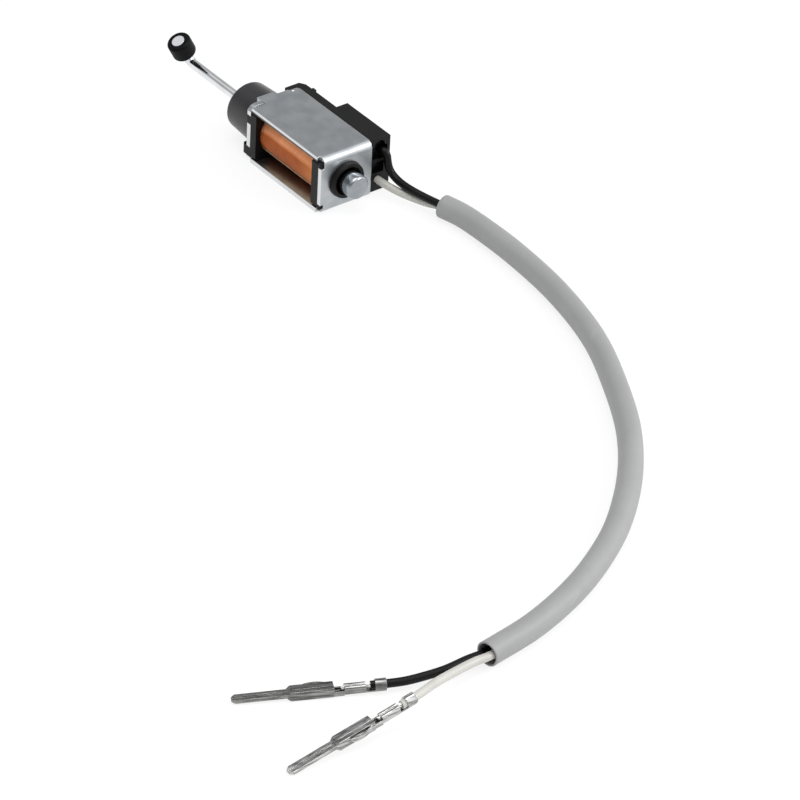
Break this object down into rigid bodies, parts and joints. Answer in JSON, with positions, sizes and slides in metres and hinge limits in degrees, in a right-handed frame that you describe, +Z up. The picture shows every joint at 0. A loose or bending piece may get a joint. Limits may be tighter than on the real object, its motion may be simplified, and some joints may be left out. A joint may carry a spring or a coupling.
{
  "type": "push pull solenoid",
  "caption": "Small open-frame push pull solenoid with a bent push rod and rubber knob, a spring cap, a side terminal housing and a sleeved lead pair with crimp contacts.",
  "frame": {"origin": "on the base face of the frame's bottom plate, under the middle of the plunger axis between the front plate and the frame's rear corners", "axes": "+X along the plunger towards its free tip, +Y towards the terminal housing, +Z up away from the base face"},
  "size_m": [0.2429, 0.1642, 0.0163],
  "materials": {
    "zinc_sheet": "zinc-plated steel sheet, satin",
    "black_nylon": "black moulded nylon, satin",
    "copper_wire": "enamelled copper wire, smooth and glossy",
    "brass": "drawn brass tube",
    "core_steel": "turned steel",
    "black_rubber": "black rubber, matt",
    "polished_steel": "bright nickel-plated steel",
    "spring_steel": "spring steel",
    "cap_plastic": "black moulded plastic, satin",
    "tin_plate": "bright tin plate",
    "black_pvc": "black PVC insulation",
    "white_pvc": "white PVC insulation",
    "grey_pvc": "grey PVC sleeve"
  },
  "bodies": {
    "frame_body": {"frame_yoke": "zinc_sheet", "back_plate": "zinc_sheet", "bobbin": "black_nylon", "coil_winding": "copper_wire", "coil_tails": "copper_wire", "guide_tube": "brass", "pole_core": "core_steel", "damping_washer": "black_rubber", "return_spring": "spring_steel", "rear_cap": "cap_plastic", "terminal_housing": "black_nylon", "coil_pin_upper": "tin_plate", "coil_pin_lower": "tin_plate", "lead_black": "black_pvc", "lead_white": "white_pvc", "cable_sleeve": "grey_pvc", "terminal_black": "tin_plate", "terminal_white": "tin_plate"},
    "armature": {"plunger": "polished_steel", "push_rod": "polished_steel", "knob": "black_rubber", "retaining_clip": "spring_steel", "spring_washer": "core_steel"}
  },
  "joints": [
    {"name": "plunger_slide", "type": "slide", "parent": "frame_body", "child": "armature", "axis": [-1, 0, 0], "range_m": [0, 0.0045], "stiffness_N_per_m": 250, "springref_m": -0.003, "deforming": ["return_spring"]}
  ]
}
